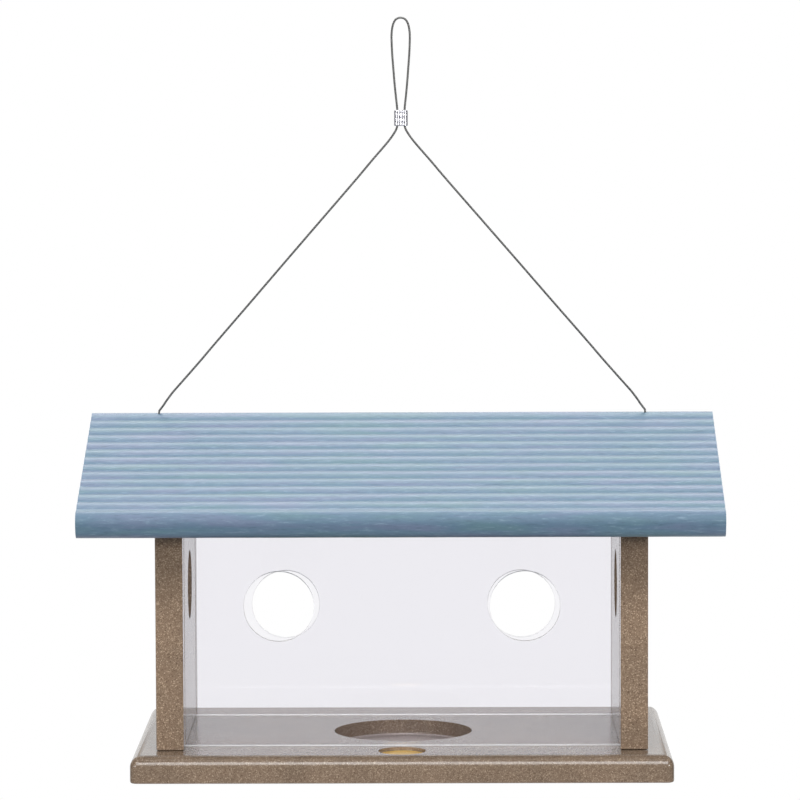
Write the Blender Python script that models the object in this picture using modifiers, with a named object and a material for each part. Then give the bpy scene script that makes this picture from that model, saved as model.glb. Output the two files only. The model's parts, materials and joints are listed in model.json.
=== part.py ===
"""Hanging gable-roof bird feeder in plastic lumber: base, two end boards, two clear panes,
a two-board roof that slides up its cable, and the cable with its crimped hanging loop.

Metres, +Z up. X runs along the ridge, the front is at -Y, and Z = 0 is the underside of the base.
"""

from math import atan2, cos, hypot, pi, radians, sin, tan

import bmesh
import bpy
from mathutils import Matrix, Vector

# Boards
BOARD = 0.0148  # thickness of every plastic-lumber board
GAP = 0.0003  # between pieces that touch

# Base
BASE_SIDE_MARGIN = 0.01325  # beyond the end boards' outer faces
BASE_FRONT_MARGIN = 0.02065  # beyond the end boards' front and back edges
BASE_ROUND = 0.0063  # routed radius along the top edge
BASE_UNDER_ROUND = 0.0012
BASE_CORNER = 0.004  # radius of the four corners in plan

# Food well routed in the base
WELL_DIAMETER = 0.0762
WELL_DEPTH = 0.0085
WELL_FLOOR_ROUND = 0.0016

# Badge in the front margin of the base
BADGE_DIAMETER = 0.025
BADGE_THICKNESS = 0.0012
BADGE_BEVEL = 0.0003
BADGE_CLEARANCE = 0.0003
BADGE_RECESS_DEPTH = 0.0033
BADGE_EDGE_MARGIN = 0.0001  # recess rim to the start of the base's rounded edge

# End boards
INSIDE_LENGTH = 0.236  # between the end boards
END_DEPTH = 0.1397
END_HOLE_HEIGHT = 0.082  # centre above the floor

# Round ways in for small birds
ENTRY_DIAMETER = 0.0381

# Clear panes, one pattern fitted either way up
PANE_THICKNESS = 0.003
PANE_SPACING = 0.1096  # centre to centre
PANE_GROOVE_DEPTH = 0.005
PANE_CLEARANCE = 0.0003
PANE_END_CLEARANCE = 0.0006
PANE_HEADROOM = 0.00116  # under the closed roof
PANE_HOLE_SPACING = 0.1334
PANE_HOLE_HEIGHT = 0.0762  # from the edge that is down on the front pane

# Roof
ROOF_END_OVERHANG = 0.03865  # beyond the end boards' outer faces
ROOF_SLOPE = radians(20.0)
ROOF_BOARD_WIDTH = 0.1303  # down the slope
ROOF_EDGE_ROUND = 0.00635
RIDGE_HEIGHT = 0.1774  # top of the ridge above the floor
RIB_FIRST = 0.0076  # first groove from the ridge
RIB_PITCH = 0.0093
RIB_DEPTH = 0.0009
RIB_SEGMENTS = 6
RIDGE_ROUNDING = 4  # power of the curve from the ridge down to the first groove
EAVE_RISE = 0.4  # share of the plain band in which it rises out of the last groove

# Hanging cable
CABLE_DIAMETER = 0.0012
CABLE_STANDOFF = 0.0015  # cable centre to the end board's outer face
CABLE_HOLE_DIAMETER = 0.0024
CABLE_GABLE_HOLE_DIAMETER = 0.0034
CABLE_GABLE_DROP = 0.0162  # gable hole below the end board's peak
CABLE_BEND = 0.0035
CABLE_SPACING = 0.003  # between the points of a cable's tube
CABLE_RUN_END = 0.00025  # lower run above the ridge, just short of the leg

# Crimped sleeves
SLEEVE_BORE = CABLE_DIAMETER + 2 * GAP
STOP_DIAMETER = 0.005
STOP_LENGTH = 0.007
STOP_BEVEL = 0.0004
FERRULE_BARREL_DIAMETER = 0.0038
FERRULE_HEIGHT = 0.0086
FERRULE_CENTRE_Z = 0.3544
FERRULE_WEB = 0.0022  # thickness between the two barrels

# Screws
SCREW_SHANK_DIAMETER = 0.0036
SCREW_HEAD_DIAMETER = 0.0076
SCREW_HEAD_HEIGHT = 0.0026
SCREW_HEAD_EDGE = 0.0003
SCREW_TIP = 0.004
SCREW_RECESS_WIDTH = 0.0011
SCREW_RECESS_SPAN = 0.004
SCREW_RECESS_DEPTH = 0.0016
BASE_SCREW_LENGTH = 0.036
BASE_SCREW_SPACING = 0.09
BASE_SCREW_SINK = 0.0006
RIDGE_SCREW_LENGTH = 0.03
RIDGE_SCREW_SPACING = 0.105
RIDGE_SCREW_SINK = 0.0035  # head below the slope, along the screw

ROUND_SIDES = 48
SMALL_SIDES = 16
BARREL_STEPS = 18
EDGE_STEPS = 6
CORNER_STEPS = 4
SMALL_STEPS = 3

# Cable above the roof, right side, as (x, z): out of the ridge hole, inwards, into the ferrule
LEG_ROUTE = (
    (0.1343, 0.19275),
    (0.1341, 0.1934),
    (0.1335, 0.1942),
    (0.1325, 0.1955),
    (0.1314, 0.1970),
    (0.1303, 0.1987),
    (0.1283, 0.2014),
    (0.1261, 0.2042),
    (0.1212, 0.2097),
    (0.1114, 0.2208),
    (0.1019, 0.2319),
    (0.0827, 0.2540),
    (0.0636, 0.2761),
    (0.0445, 0.2981),
    (0.0254, 0.3201),
    (0.0161, 0.3311),
    (0.0094, 0.3388),
    (0.0058, 0.3432),
    (0.0038, 0.3461),
    (0.0026, 0.3482),
    (0.00205, 0.3501),
    (0.0019, 0.3521),
    (0.0019, 0.35425),
)

# Hanging loop, right half, as (x, z): up out of the ferrule to the top of the loop
LOOP_ROUTE = (
    (0.0019, 0.35455),
    (0.0019, 0.3569),
    (0.0020, 0.3591),
    (0.0024, 0.3631),
    (0.0029, 0.3677),
    (0.0035, 0.3740),
    (0.0041, 0.3817),
    (0.0047, 0.3898),
    (0.0050, 0.3969),
    (0.00498, 0.4005),
    (0.0046, 0.4038),
    (0.0038, 0.4066),
    (0.0024, 0.4086),
    (0.0, 0.4094),
)

FLOOR_Z = BOARD
RIDGE_Z = FLOOR_Z + RIDGE_HEIGHT
END_OUTER_X = INSIDE_LENGTH / 2 + BOARD
BASE_LENGTH = 2 * (END_OUTER_X + BASE_SIDE_MARGIN)
BASE_DEPTH = END_DEPTH + 2 * BASE_FRONT_MARGIN
ROOF_LENGTH = 2 * (END_OUTER_X + ROOF_END_OVERHANG)
CABLE_X = END_OUTER_X + CABLE_STANDOFF
UNDERSIDE_DROP = BOARD / cos(ROOF_SLOPE)  # roof thickness measured straight down
END_PEAK_Z = RIDGE_Z - UNDERSIDE_DROP - GAP
CABLE_GABLE_Z = END_PEAK_Z - CABLE_GABLE_DROP
PANE_OUTER_Y = (PANE_SPACING + PANE_THICKNESS) / 2
PANE_BOTTOM_Z = FLOOR_Z + GAP
PANE_HEIGHT = (
    RIDGE_Z - UNDERSIDE_DROP - PANE_OUTER_Y * tan(ROOF_SLOPE) - PANE_HEADROOM - PANE_BOTTOM_Z
)
PANE_LENGTH = INSIDE_LENGTH + 2 * (PANE_GROOVE_DEPTH - PANE_END_CLEARANCE)
BADGE_RECESS_RADIUS = BADGE_DIAMETER / 2 + BADGE_CLEARANCE
BADGE_Y = -BASE_DEPTH / 2 + BASE_ROUND + BADGE_EDGE_MARGIN + BADGE_RECESS_RADIUS
BADGE_BOTTOM_Z = FLOOR_Z - BADGE_RECESS_DEPTH + GAP
END_X = INSIDE_LENGTH / 2 + BOARD / 2
RIB_COUNT = 1 + int((ROOF_BOARD_WIDTH - ROOF_EDGE_ROUND - RIB_FIRST) / RIB_PITCH)


def clear_scene():
    for obj in list(bpy.data.objects):
        bpy.data.objects.remove(obj, do_unlink=True)


def collection(name):
    made = bpy.data.collections.new(name)
    bpy.context.scene.collection.children.link(made)
    return made


def material(name, colour, roughness, metallic=0.0, transmission=0.0):
    made = bpy.data.materials.new(name)
    made.use_nodes = True
    shader = made.node_tree.nodes["Principled BSDF"]
    shader.inputs["Base Color"].default_value = (*colour, 1.0)
    shader.inputs["Roughness"].default_value = roughness
    shader.inputs["Metallic"].default_value = metallic
    shader.inputs["Transmission Weight"].default_value = transmission
    made.diffuse_color = (*colour, 1.0)
    return made


def new_object(name, data, into, finish=None):
    made = bpy.data.objects.new(name, data)
    into.objects.link(made)
    if finish is not None:
        data.materials.clear()
        data.materials.append(finish)
    return made


def smooth(obj):
    obj.data.shade_smooth()
    obj.data.set_sharp_from_angle(angle=radians(30))


def arc(centre, radius, start, end, steps):
    """Points of an arc in a plane, angles in radians."""
    turns = [start + (end - start) * i / steps for i in range(steps + 1)]
    return [(centre[0] + radius * cos(a), centre[1] + radius * sin(a)) for a in turns]


def circle(centre, radius, sides=ROUND_SIDES):
    return arc(centre, radius, 0, 2 * pi, sides)[:-1]


def extruded(name, outlines, thickness, into, finish=None, location=(0, 0, 0), rotation=(0, 0, 0)):
    """Mesh of flat outlines, the first the outer edge and the rest holes, about its middle."""
    curve = bpy.data.curves.new(name, "CURVE")
    curve.dimensions = "2D"
    curve.fill_mode = "BOTH"
    curve.extrude = thickness / 2
    for outline in outlines:
        spline = curve.splines.new("POLY")
        spline.points.add(len(outline) - 1)
        for point, (x, y) in zip(spline.points, outline):
            point.co = (x, y, 0, 1)
        spline.use_cyclic_u = True
    flat = new_object(name + "_outline", curve, into)
    flat.location = location
    flat.rotation_euler = rotation
    bpy.context.view_layer.update()
    graph = bpy.context.evaluated_depsgraph_get()
    mesh = bpy.data.meshes.new_from_object(flat.evaluated_get(graph))
    weld(mesh)
    made = new_object(name, mesh, into, finish)
    made.matrix_world = flat.matrix_world
    bpy.data.objects.remove(flat, do_unlink=True)
    smooth(made)
    return made


def weld(mesh):
    edit = bmesh.new()
    edit.from_mesh(mesh)
    bmesh.ops.remove_doubles(edit, verts=edit.verts, dist=1e-6)
    bmesh.ops.recalc_face_normals(edit, faces=edit.faces)
    edit.to_mesh(mesh)
    edit.free()


def cutter(name, mesh_maker, location, rotation=(0, 0, 0)):
    mesh = bpy.data.meshes.new(name)
    edit = bmesh.new()
    mesh_maker(edit)
    edit.to_mesh(mesh)
    edit.free()
    made = new_object(name, mesh, cutters)
    made.location = location
    made.rotation_euler = rotation
    return as_cutter(made)


def as_cutter(obj):
    obj.hide_render = True
    obj.display_type = "WIRE"
    return obj


def box_cutter(name, size, location):
    def make(edit):
        bmesh.ops.create_cube(edit, size=1.0)
        bmesh.ops.scale(edit, vec=size, verts=edit.verts)

    return cutter(name, make, location)


def round_cutter(name, diameter, length, location, rotation=(0, 0, 0), sides=SMALL_SIDES):
    def make(edit):
        bmesh.ops.create_cone(
            edit,
            cap_ends=True,
            segments=sides,
            radius1=diameter / 2,
            radius2=diameter / 2,
            depth=length,
        )

    return cutter(name, make, location, rotation)


def cut(obj, tool, operation="DIFFERENCE"):
    step = obj.modifiers.new(tool.name, "BOOLEAN")
    step.operation = operation
    step.solver = "EXACT"
    step.object = tool


def turned(name, profile, into, finish, sides):
    """Solid of revolution about Z of (radius, z) points that run top to bottom."""
    mesh = bpy.data.meshes.new(name)
    edit = bmesh.new()
    points = [edit.verts.new((r, 0, z)) for r, z in profile]
    for first, second in zip(points, points[1:]):
        edit.edges.new((first, second))
    edit.to_mesh(mesh)
    edit.free()
    made = new_object(name, mesh, into, finish)
    spin = made.modifiers.new("Turn", "SCREW")
    spin.steps = sides
    spin.render_steps = sides
    spin.use_merge_vertices = True
    spin.merge_threshold = 1e-6
    spin.use_smooth_shade = True
    return made


def bore(diameter, top, bottom):
    """Closed profile of a plain cylinder, for a tool that bores a hole."""
    return [(0, top), (diameter / 2, top), (diameter / 2, bottom), (0, bottom)]


def smooth_route(route, spacing):
    """Points about one spacing apart on a smooth curve through every point of the route."""
    route = [Vector(p) for p in route]
    ends = [2 * route[0] - route[1], *route, 2 * route[-1] - route[-2]]
    points = []
    for before, a, b, after in zip(ends, ends[1:], ends[2:], ends[3:]):
        steps = max(1, round((b - a).length / spacing))
        for i in range(steps):
            t = i / steps
            lead = (b - before) * 0.5
            trail = (after - a) * 0.5
            bend = 3 * (b - a) - 2 * lead - trail
            twist = 2 * (a - b) + lead + trail
            points.append(a + t * lead + t * t * bend + t**3 * twist)
    return [*points, route[-1]]


def cable(name, route):
    curve = bpy.data.curves.new(name, "CURVE")
    curve.dimensions = "3D"
    curve.bevel_depth = CABLE_DIAMETER / 2
    curve.bevel_resolution = 2
    curve.use_fill_caps = True
    points = smooth_route(route, CABLE_SPACING)
    spline = curve.splines.new("POLY")
    spline.points.add(len(points) - 1)
    for point, place in zip(spline.points, points):
        point.co = (*place, 1)
    spline.use_smooth = True
    return new_object(name, curve, parts, steel)


def base_edge_profile(width):
    """Section of the base across its width, round along the top and eased underneath."""
    half = width / 2
    low, high = BASE_UNDER_ROUND, BASE_ROUND
    right = [
        *arc((half - low, low), low, -pi / 2, 0, SMALL_STEPS),
        *arc((half - high, BOARD - high), high, 0, pi / 2, EDGE_STEPS),
    ]
    return right + [(-x, z) for x, z in reversed(right)]


def make_base():
    x, y, r = BASE_LENGTH / 2, BASE_DEPTH / 2, BASE_CORNER
    plan = [
        *arc((x - r, y - r), r, 0, pi / 2, CORNER_STEPS),
        *arc((r - x, y - r), r, pi / 2, pi, CORNER_STEPS),
        *arc((r - x, r - y), r, pi, 3 * pi / 2, CORNER_STEPS),
        *arc((x - r, r - y), r, 3 * pi / 2, 2 * pi, CORNER_STEPS),
    ]
    base = extruded("base_board", [plan], 3 * BOARD, parts, lumber, (0, 0, BOARD / 2))
    across = extruded(
        "base_section_across",
        [base_edge_profile(BASE_DEPTH)],
        1.2 * BASE_LENGTH,
        cutters,
        rotation=(pi / 2, 0, pi / 2),
    )
    along = extruded(
        "base_section_along",
        [base_edge_profile(BASE_LENGTH)],
        1.2 * BASE_DEPTH,
        cutters,
        rotation=(pi / 2, 0, 0),
    )
    cut(base, as_cutter(across), "INTERSECT")
    cut(base, as_cutter(along), "INTERSECT")

    radius, floor = WELL_DIAMETER / 2, FLOOR_Z - WELL_DEPTH
    fillet = WELL_FLOOR_ROUND
    corner = arc((radius - fillet, floor + fillet), fillet, 0, -pi / 2, SMALL_STEPS)
    well_profile = [(0, FLOOR_Z + BOARD), (radius, FLOOR_Z + BOARD), *corner, (0, floor)]
    cut(base, as_cutter(turned("well_cutter", well_profile, cutters, None, ROUND_SIDES)))

    recess = bore(2 * BADGE_RECESS_RADIUS, FLOOR_Z + BOARD, FLOOR_Z - BADGE_RECESS_DEPTH)
    recess_cutter = as_cutter(turned("badge_recess_cutter", recess, cutters, None, ROUND_SIDES))
    recess_cutter.location.y = BADGE_Y
    cut(base, recess_cutter)
    return base


def make_badge():
    radius, high, edge = BADGE_DIAMETER / 2, BADGE_THICKNESS, BADGE_BEVEL
    profile = [(0, high), (radius - edge, high), (radius, high - edge), (radius, 0), (0, 0)]
    badge = turned("badge_disc", profile, parts, brass, ROUND_SIDES)
    badge.location = (0, BADGE_Y, BADGE_BOTTOM_Z)


def roof_underside(y):
    return RIDGE_Z - UNDERSIDE_DROP - abs(y) * tan(ROOF_SLOPE)


def make_end_board(name, side):
    half = END_DEPTH / 2
    low = FLOOR_Z + GAP
    shoulder = roof_underside(half) - GAP
    outline = [(-half, low), (half, low), (half, shoulder), (0, END_PEAK_Z), (-half, shoulder)]
    entry = circle((0, FLOOR_Z + END_HOLE_HEIGHT), ENTRY_DIAMETER / 2)
    board = extruded(
        name, [outline, entry], BOARD, parts, lumber, (side * END_X, 0, 0), (pi / 2, 0, pi / 2)
    )
    tall = 1.2 * END_PEAK_Z
    width = PANE_THICKNESS + 2 * PANE_CLEARANCE
    for word, sign in (("front", -1), ("back", 1)):
        place = (side * INSIDE_LENGTH / 2, sign * PANE_SPACING / 2, tall / 2)
        size = (2 * PANE_GROOVE_DEPTH, width, tall)
        cut(board, box_cutter(f"{name}_{word}_pane_groove", size, place))
    gable = (side * END_X, 0, CABLE_GABLE_Z)
    hole = round_cutter(name + "_cable_hole", CABLE_GABLE_HOLE_DIAMETER, 2 * BOARD, gable, (0, pi / 2, 0))
    cut(board, hole)
    return board


def make_pane(name, sign, hole_height):
    half = PANE_LENGTH / 2
    outline = [(-half, 0), (half, 0), (half, PANE_HEIGHT), (-half, PANE_HEIGHT)]
    holes = [circle((s * PANE_HOLE_SPACING / 2, hole_height), ENTRY_DIAMETER / 2) for s in (-1, 1)]
    place = (0, sign * PANE_SPACING / 2, PANE_BOTTOM_Z)
    extruded(name, [outline, *holes], PANE_THICKNESS, parts, acrylic, place, (pi / 2, 0, 0))


def rib_height(distance):
    """How far the ribbed top face lies below the board's face, at a distance from the ridge."""
    if distance < RIB_FIRST:
        return RIB_DEPTH * (distance / RIB_FIRST) ** RIDGE_ROUNDING
    across = (distance - RIB_FIRST) / RIB_PITCH % 1.0
    return RIB_DEPTH * (2 * across - 1) ** 2


def roof_section():
    """Section of the front roof board as (y, z) from the ridge: ribbed top, round eave, mitred ridge."""
    lean_sin, lean_cos = sin(ROOF_SLOPE), cos(ROOF_SLOPE)
    mitre = GAP / 2 / lean_cos
    top = [(mitre, 0.0), (RIB_FIRST / 2, rib_height(RIB_FIRST / 2))]
    for rib in range(RIB_COUNT - 1):
        for step in range(RIB_SEGMENTS):
            distance = RIB_FIRST + (rib + step / RIB_SEGMENTS) * RIB_PITCH
            top.append((distance, rib_height(distance) if step else RIB_DEPTH))
    last = RIB_FIRST + (RIB_COUNT - 1) * RIB_PITCH
    round_start = ROOF_BOARD_WIDTH - ROOF_EDGE_ROUND
    top.append((last, RIB_DEPTH))
    top.append((last + EAVE_RISE * (round_start - last), RIB_DEPTH / 4))
    upper = arc((round_start, ROOF_EDGE_ROUND), ROOF_EDGE_ROUND, -pi / 2, 0, EDGE_STEPS)
    lower = arc((round_start, BOARD - ROOF_EDGE_ROUND), ROOF_EDGE_ROUND, 0, pi / 2, EDGE_STEPS)
    under = [(BOARD * tan(ROOF_SLOPE) + mitre, BOARD)]
    points = [*top, *upper, *lower, *under]
    return [
        (-along * lean_cos + deep * lean_sin, -along * lean_sin - deep * lean_cos)
        for along, deep in points
    ]


def make_roof():
    section = roof_section()
    boards = []
    for name, sign in (("front_roof_board", 1), ("back_roof_board", -1)):
        outline = [(sign * y, z) for y, z in section]
        board = extruded(
            name, [outline], ROOF_LENGTH, parts, blue_lumber, (0, 0, RIDGE_Z), (pi / 2, 0, pi / 2)
        )
        boards.append(board)
    for word, side in (("left", -1), ("right", 1)):
        place = (side * CABLE_X, 0, RIDGE_Z)
        hole = round_cutter(f"roof_{word}_cable_hole", CABLE_HOLE_DIAMETER, 4 * BOARD, place)
        for board in boards:
            cut(board, hole)
    return boards


def screw_profile(length):
    shank, head = SCREW_SHANK_DIAMETER / 2, SCREW_HEAD_DIAMETER / 2
    return [
        (0, 0),
        (head, 0),
        (head, -SCREW_HEAD_EDGE),
        (shank, -SCREW_HEAD_HEIGHT),
        (shank, SCREW_TIP - length),
        (0, -length),
    ]


def screw_hole_profile(length, sink):
    """The screw's own shape with clearance, open upwards above its head."""
    shank, head = SCREW_SHANK_DIAMETER / 2 + GAP, SCREW_HEAD_DIAMETER / 2 + GAP
    return [
        (0, sink + BOARD),
        (head, sink + BOARD),
        (head, -SCREW_HEAD_EDGE - GAP),
        (shank, -SCREW_HEAD_HEIGHT - GAP),
        (shank, SCREW_TIP - length - GAP),
        (0, -length - 2 * GAP),
    ]


def make_screw(name, length, sink, location, rotation, boards):
    screw = turned(name, screw_profile(length), parts, steel, SMALL_SIDES)
    screw.location = location
    screw.rotation_euler = rotation
    for turn, word in ((0, "a"), (pi / 2, "b")):
        size = (SCREW_RECESS_SPAN, SCREW_RECESS_WIDTH, 2 * SCREW_RECESS_DEPTH)
        slot = box_cutter(f"{name}_recess_{word}", size, location)
        slot.rotation_euler = (Matrix.Rotation(rotation[0], 3, "X") @ Matrix.Rotation(turn, 3, "Z")).to_euler()
        cut(screw, slot)
    hole = as_cutter(turned(name + "_hole", screw_hole_profile(length, sink), cutters, None, SMALL_SIDES))
    hole.location = location
    hole.rotation_euler = rotation
    for board in boards:
        cut(board, hole)


def make_base_screws(base, ends):
    number = 0
    for side, end in zip((-1, 1), ends):
        for sign in (-1, 1):
            number += 1
            place = (side * END_X, sign * BASE_SCREW_SPACING / 2, BASE_SCREW_SINK)
            make_screw(
                f"base_screw_{number}", BASE_SCREW_LENGTH, BASE_SCREW_SINK, place, (pi, 0, 0), (base, end)
            )


def make_ridge_screws(boards):
    """Screws from the back slope that run along the middle of the front board's thickness."""
    middle_z = RIDGE_Z - UNDERSIDE_DROP / 2
    surface_y = (RIDGE_Z - middle_z) / (2 * tan(ROOF_SLOPE))
    head = Vector((0, surface_y, middle_z + surface_y * tan(ROOF_SLOPE)))
    along = Vector((0, -cos(ROOF_SLOPE), -sin(ROOF_SLOPE)))
    head += along * RIDGE_SCREW_SINK
    lean = atan2(-along.y, -along.z)
    for number in range(3):
        place = (RIDGE_SCREW_SPACING * (number - 1), head.y, head.z)
        make_screw(
            f"ridge_screw_{number + 1}", RIDGE_SCREW_LENGTH, RIDGE_SCREW_SINK, place, (-lean, 0, 0), boards
        )


def make_cable():
    for word, side in (("left", -1), ("right", 1)):
        cable(f"cable_leg_{word}", [(side * x, 0, z) for x, z in LEG_ROUTE])
    rise = [(x, 0, z) for x, z in LOOP_ROUTE]
    fall = [(-x, 0, z) for x, _, z in reversed(rise[:-1])]
    cable("cable_loop", rise + fall)

    bend, low = CABLE_BEND, CABLE_GABLE_Z
    inner = INSIDE_LENGTH / 2 - STOP_LENGTH
    top = RIDGE_Z + CABLE_RUN_END
    turn = arc((CABLE_X - bend, low + bend), bend, -pi / 2, 0, SMALL_STEPS)
    run = [(inner, low), (inner + STOP_LENGTH, low), (END_X, low), *turn, (CABLE_X, low + 2 * bend)]
    run += [(CABLE_X, (low + top) / 2), (CABLE_X, top)]
    for word, side in (("left", -1), ("right", 1)):
        cable(f"cable_anchor_{word}", [(side * x, 0, z) for x, z in run])


def make_stops():
    outer, inner, edge = STOP_DIAMETER / 2, SLEEVE_BORE / 2, STOP_BEVEL
    profile = [
        (inner, STOP_LENGTH),
        (outer - edge, STOP_LENGTH),
        (outer, STOP_LENGTH - edge),
        (outer, edge),
        (outer - edge, 0),
        (inner, 0),
        (inner, STOP_LENGTH),
    ]
    for word, side in (("left", -1), ("right", 1)):
        stop = turned(f"cable_stop_{word}", profile, parts, aluminium, SMALL_SIDES)
        stop.location = (side * (INSIDE_LENGTH / 2 - GAP), 0, CABLE_GABLE_Z)
        stop.rotation_euler = (0, -side * pi / 2, 0)


def make_ferrule():
    """Double-barrel sleeve: two round barrels side by side with a thinner web between them."""
    radius = FERRULE_BARREL_DIAMETER / 2
    waist = FERRULE_WEB / 2
    meet = atan2(waist, -(radius**2 - waist**2) ** 0.5)
    right = arc((radius, 0), radius, -meet, meet, BARREL_STEPS)
    left = [(-x, -y) for x, y in right]
    bores = [circle((s * radius, 0), SLEEVE_BORE / 2, SMALL_SIDES) for s in (-1, 1)]
    extruded("ferrule", [right + left, *bores], FERRULE_HEIGHT, parts, aluminium, (0, 0, FERRULE_CENTRE_Z))


clear_scene()
parts = collection("Hanging feeder")
cutters = collection("Cutters")

lumber = material("Speckled taupe plastic lumber", (0.155, 0.105, 0.07), 0.55)
blue_lumber = material("Blue plastic lumber", (0.27, 0.45, 0.58), 0.5)
acrylic = material("Clear acrylic", (0.93, 0.93, 0.96), 0.03, transmission=1.0)
steel = material("Stainless steel", (0.45, 0.45, 0.44), 0.35, metallic=1.0)
aluminium = material("Aluminium", (0.8, 0.8, 0.82), 0.3, metallic=1.0)
brass = material("Gold-coloured badge", (0.8, 0.52, 0.12), 0.35, metallic=1.0)

base_board = make_base()
make_badge()
end_boards = [make_end_board("left_end_board", -1), make_end_board("right_end_board", 1)]
make_pane("front_pane", -1, PANE_HOLE_HEIGHT)
make_pane("back_pane", 1, PANE_HEIGHT - PANE_HOLE_HEIGHT)
roof_boards = make_roof()
make_base_screws(base_board, end_boards)
make_ridge_screws(roof_boards)
make_cable()
make_stops()
make_ferrule()
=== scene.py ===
import json
from math import asin, ceil, cos, degrees, pi, radians, sin, tan

import bmesh
import bpy
from mathutils import Matrix, Vector, noise


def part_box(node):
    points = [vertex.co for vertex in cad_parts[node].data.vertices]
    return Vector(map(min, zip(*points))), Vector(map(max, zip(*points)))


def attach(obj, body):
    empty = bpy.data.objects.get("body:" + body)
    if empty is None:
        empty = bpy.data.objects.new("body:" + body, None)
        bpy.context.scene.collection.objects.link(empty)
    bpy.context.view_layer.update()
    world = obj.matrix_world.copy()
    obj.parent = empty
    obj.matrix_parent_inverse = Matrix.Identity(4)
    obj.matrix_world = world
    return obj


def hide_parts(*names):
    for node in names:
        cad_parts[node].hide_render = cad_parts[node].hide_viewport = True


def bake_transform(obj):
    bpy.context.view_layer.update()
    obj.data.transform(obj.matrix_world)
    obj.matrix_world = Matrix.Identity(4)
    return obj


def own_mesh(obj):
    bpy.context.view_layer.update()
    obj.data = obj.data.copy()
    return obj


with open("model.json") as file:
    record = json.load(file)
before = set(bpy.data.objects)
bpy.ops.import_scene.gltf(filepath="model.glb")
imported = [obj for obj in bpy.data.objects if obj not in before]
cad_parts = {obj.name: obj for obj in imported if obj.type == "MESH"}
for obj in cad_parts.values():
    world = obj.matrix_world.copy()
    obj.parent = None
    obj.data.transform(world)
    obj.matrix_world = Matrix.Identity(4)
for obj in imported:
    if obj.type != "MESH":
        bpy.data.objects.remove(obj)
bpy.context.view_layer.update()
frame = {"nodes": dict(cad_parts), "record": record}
scene = bpy.context.scene
openings = {o["name"]: [Vector(c) for c in o["box_m"]] for o in frame["record"]["physics"]["openings"]}
print("frame loaded,", len(frame["nodes"]), "pieces")


# The room

camera = {
    "place": (0.0209, -2.4458, 0.3995),
    "lens": 199.9,
    "pitch": 4.688,  # degrees below the horizon
    "yaw": 0.515,
    "roll": -0.207,
}

light = {
    "view": "Standard",
    "white": 1.0,  # the sweep behind the feeder
    "below": 1.1,  # the sweep's floor, far below
    "dim": 0.18,  # round the camera and overhead
    "sweepTop": (0.80, 0.62),  # sine of the height where the sweep fades out
    "sweepSide": (0.3, 0.7),
    "floorEdge": (-0.45, -0.75),
    "aim": 0.1,  # every softbox points at this height
    "softboxes": {
        "key": {"power": 39.0, "size": (1.6, 1.0), "distance": 2.2, "height": 36.0, "turn": 0.0},
        "fillLeft": {"power": 30.0, "size": (1.0, 0.3), "distance": 3.2, "height": 9.0, "turn": -38.0},
        "fillRight": {"power": 30.0, "size": (1.0, 0.3), "distance": 3.2, "height": 9.0, "turn": 38.0},
        "top": {"power": 40.0, "size": (1.6, 1.0), "distance": 2.2, "height": 85.0, "turn": 0.0},
        "rear": {"power": 26.0, "size": (1.6, 1.0), "distance": 2.2, "height": 125.0, "turn": 0.0},
    },
}


def put(tree, kind, sockets=None, **settings):  # one node, with its sockets set or linked
    made = tree.nodes.new(kind)
    for key, value in settings.items():
        setattr(made, key, value)
    for key, value in (sockets or {}).items():
        if isinstance(value, bpy.types.NodeSocket):
            tree.links.new(value, made.inputs[key])
        else:
            made.inputs[key].default_value = value
    return made


def smoothRange(tree, value, start, end, low=0.0, high=1.0):
    step = put(tree, "ShaderNodeMapRange", {0: value, 1: start, 2: end, 3: low, 4: high})
    step.interpolation_type = "SMOOTHSTEP"
    return step.outputs[0]


def buildCamera():
    eye = bpy.data.objects.new("camera", bpy.data.cameras.new("camera"))
    scene.collection.objects.link(eye)
    eye.data.lens = camera["lens"]
    eye.data.sensor_width = 36.0
    eye.data.clip_end = 200.0
    turn = Matrix.Rotation(radians(camera["yaw"]), 4, "Z")
    turn = turn @ Matrix.Rotation(pi / 2 - radians(camera["pitch"]), 4, "X")
    turn = turn @ Matrix.Rotation(radians(camera["roll"]), 4, "Z")
    eye.matrix_world = Matrix.Translation(camera["place"]) @ turn
    scene.camera = eye


def buildRoom():
    scene.view_settings.view_transform = light["view"]
    world = bpy.data.worlds.new("studio")
    world.use_nodes = True
    scene.world = world
    tree = world.node_tree
    way = put(tree, "ShaderNodeSeparateXYZ", {0: put(tree, "ShaderNodeTexCoord").outputs["Generated"]})
    low = smoothRange(tree, way.outputs["Z"], *reversed(light["sweepTop"]), 1.0, 0.0)
    back = smoothRange(tree, way.outputs["Y"], *light["sweepSide"])
    sweep = put(tree, "ShaderNodeMath", {0: low, 1: back}, operation="MULTIPLY").outputs[0]
    sweep = put(tree, "ShaderNodeMath", {0: sweep, 1: light["white"]}, operation="MULTIPLY").outputs[0]
    floor = smoothRange(tree, way.outputs["Z"], *reversed(light["floorEdge"]), light["below"], light["dim"])
    bright = put(tree, "ShaderNodeMath", {0: sweep, 1: floor}, operation="MAXIMUM")
    tree.links.new(bright.outputs[0], tree.nodes["Background"].inputs["Strength"])
    tree.nodes["Background"].inputs["Color"].default_value = (1, 1, 1, 1)

    for name, box in light["softboxes"].items():
        addSoftbox(name, **box)


def addSoftbox(name, power, size, distance, height, turn):
    lamp = bpy.data.objects.new(name, bpy.data.lights.new(name, "AREA"))
    lamp.data.shape = "RECTANGLE"
    lamp.data.size, lamp.data.size_y = size
    lamp.data.energy = power
    scene.collection.objects.link(lamp)
    rise, bearing = radians(height), radians(turn)
    reach = distance * cos(rise)
    lamp.location = (reach * sin(bearing), -reach * cos(bearing), light["aim"] + distance * sin(rise))
    lamp.rotation_euler = (pi / 2 - rise, 0, bearing)


buildCamera()
buildRoom()
print("camera and lights done")


# Finishes


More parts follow.
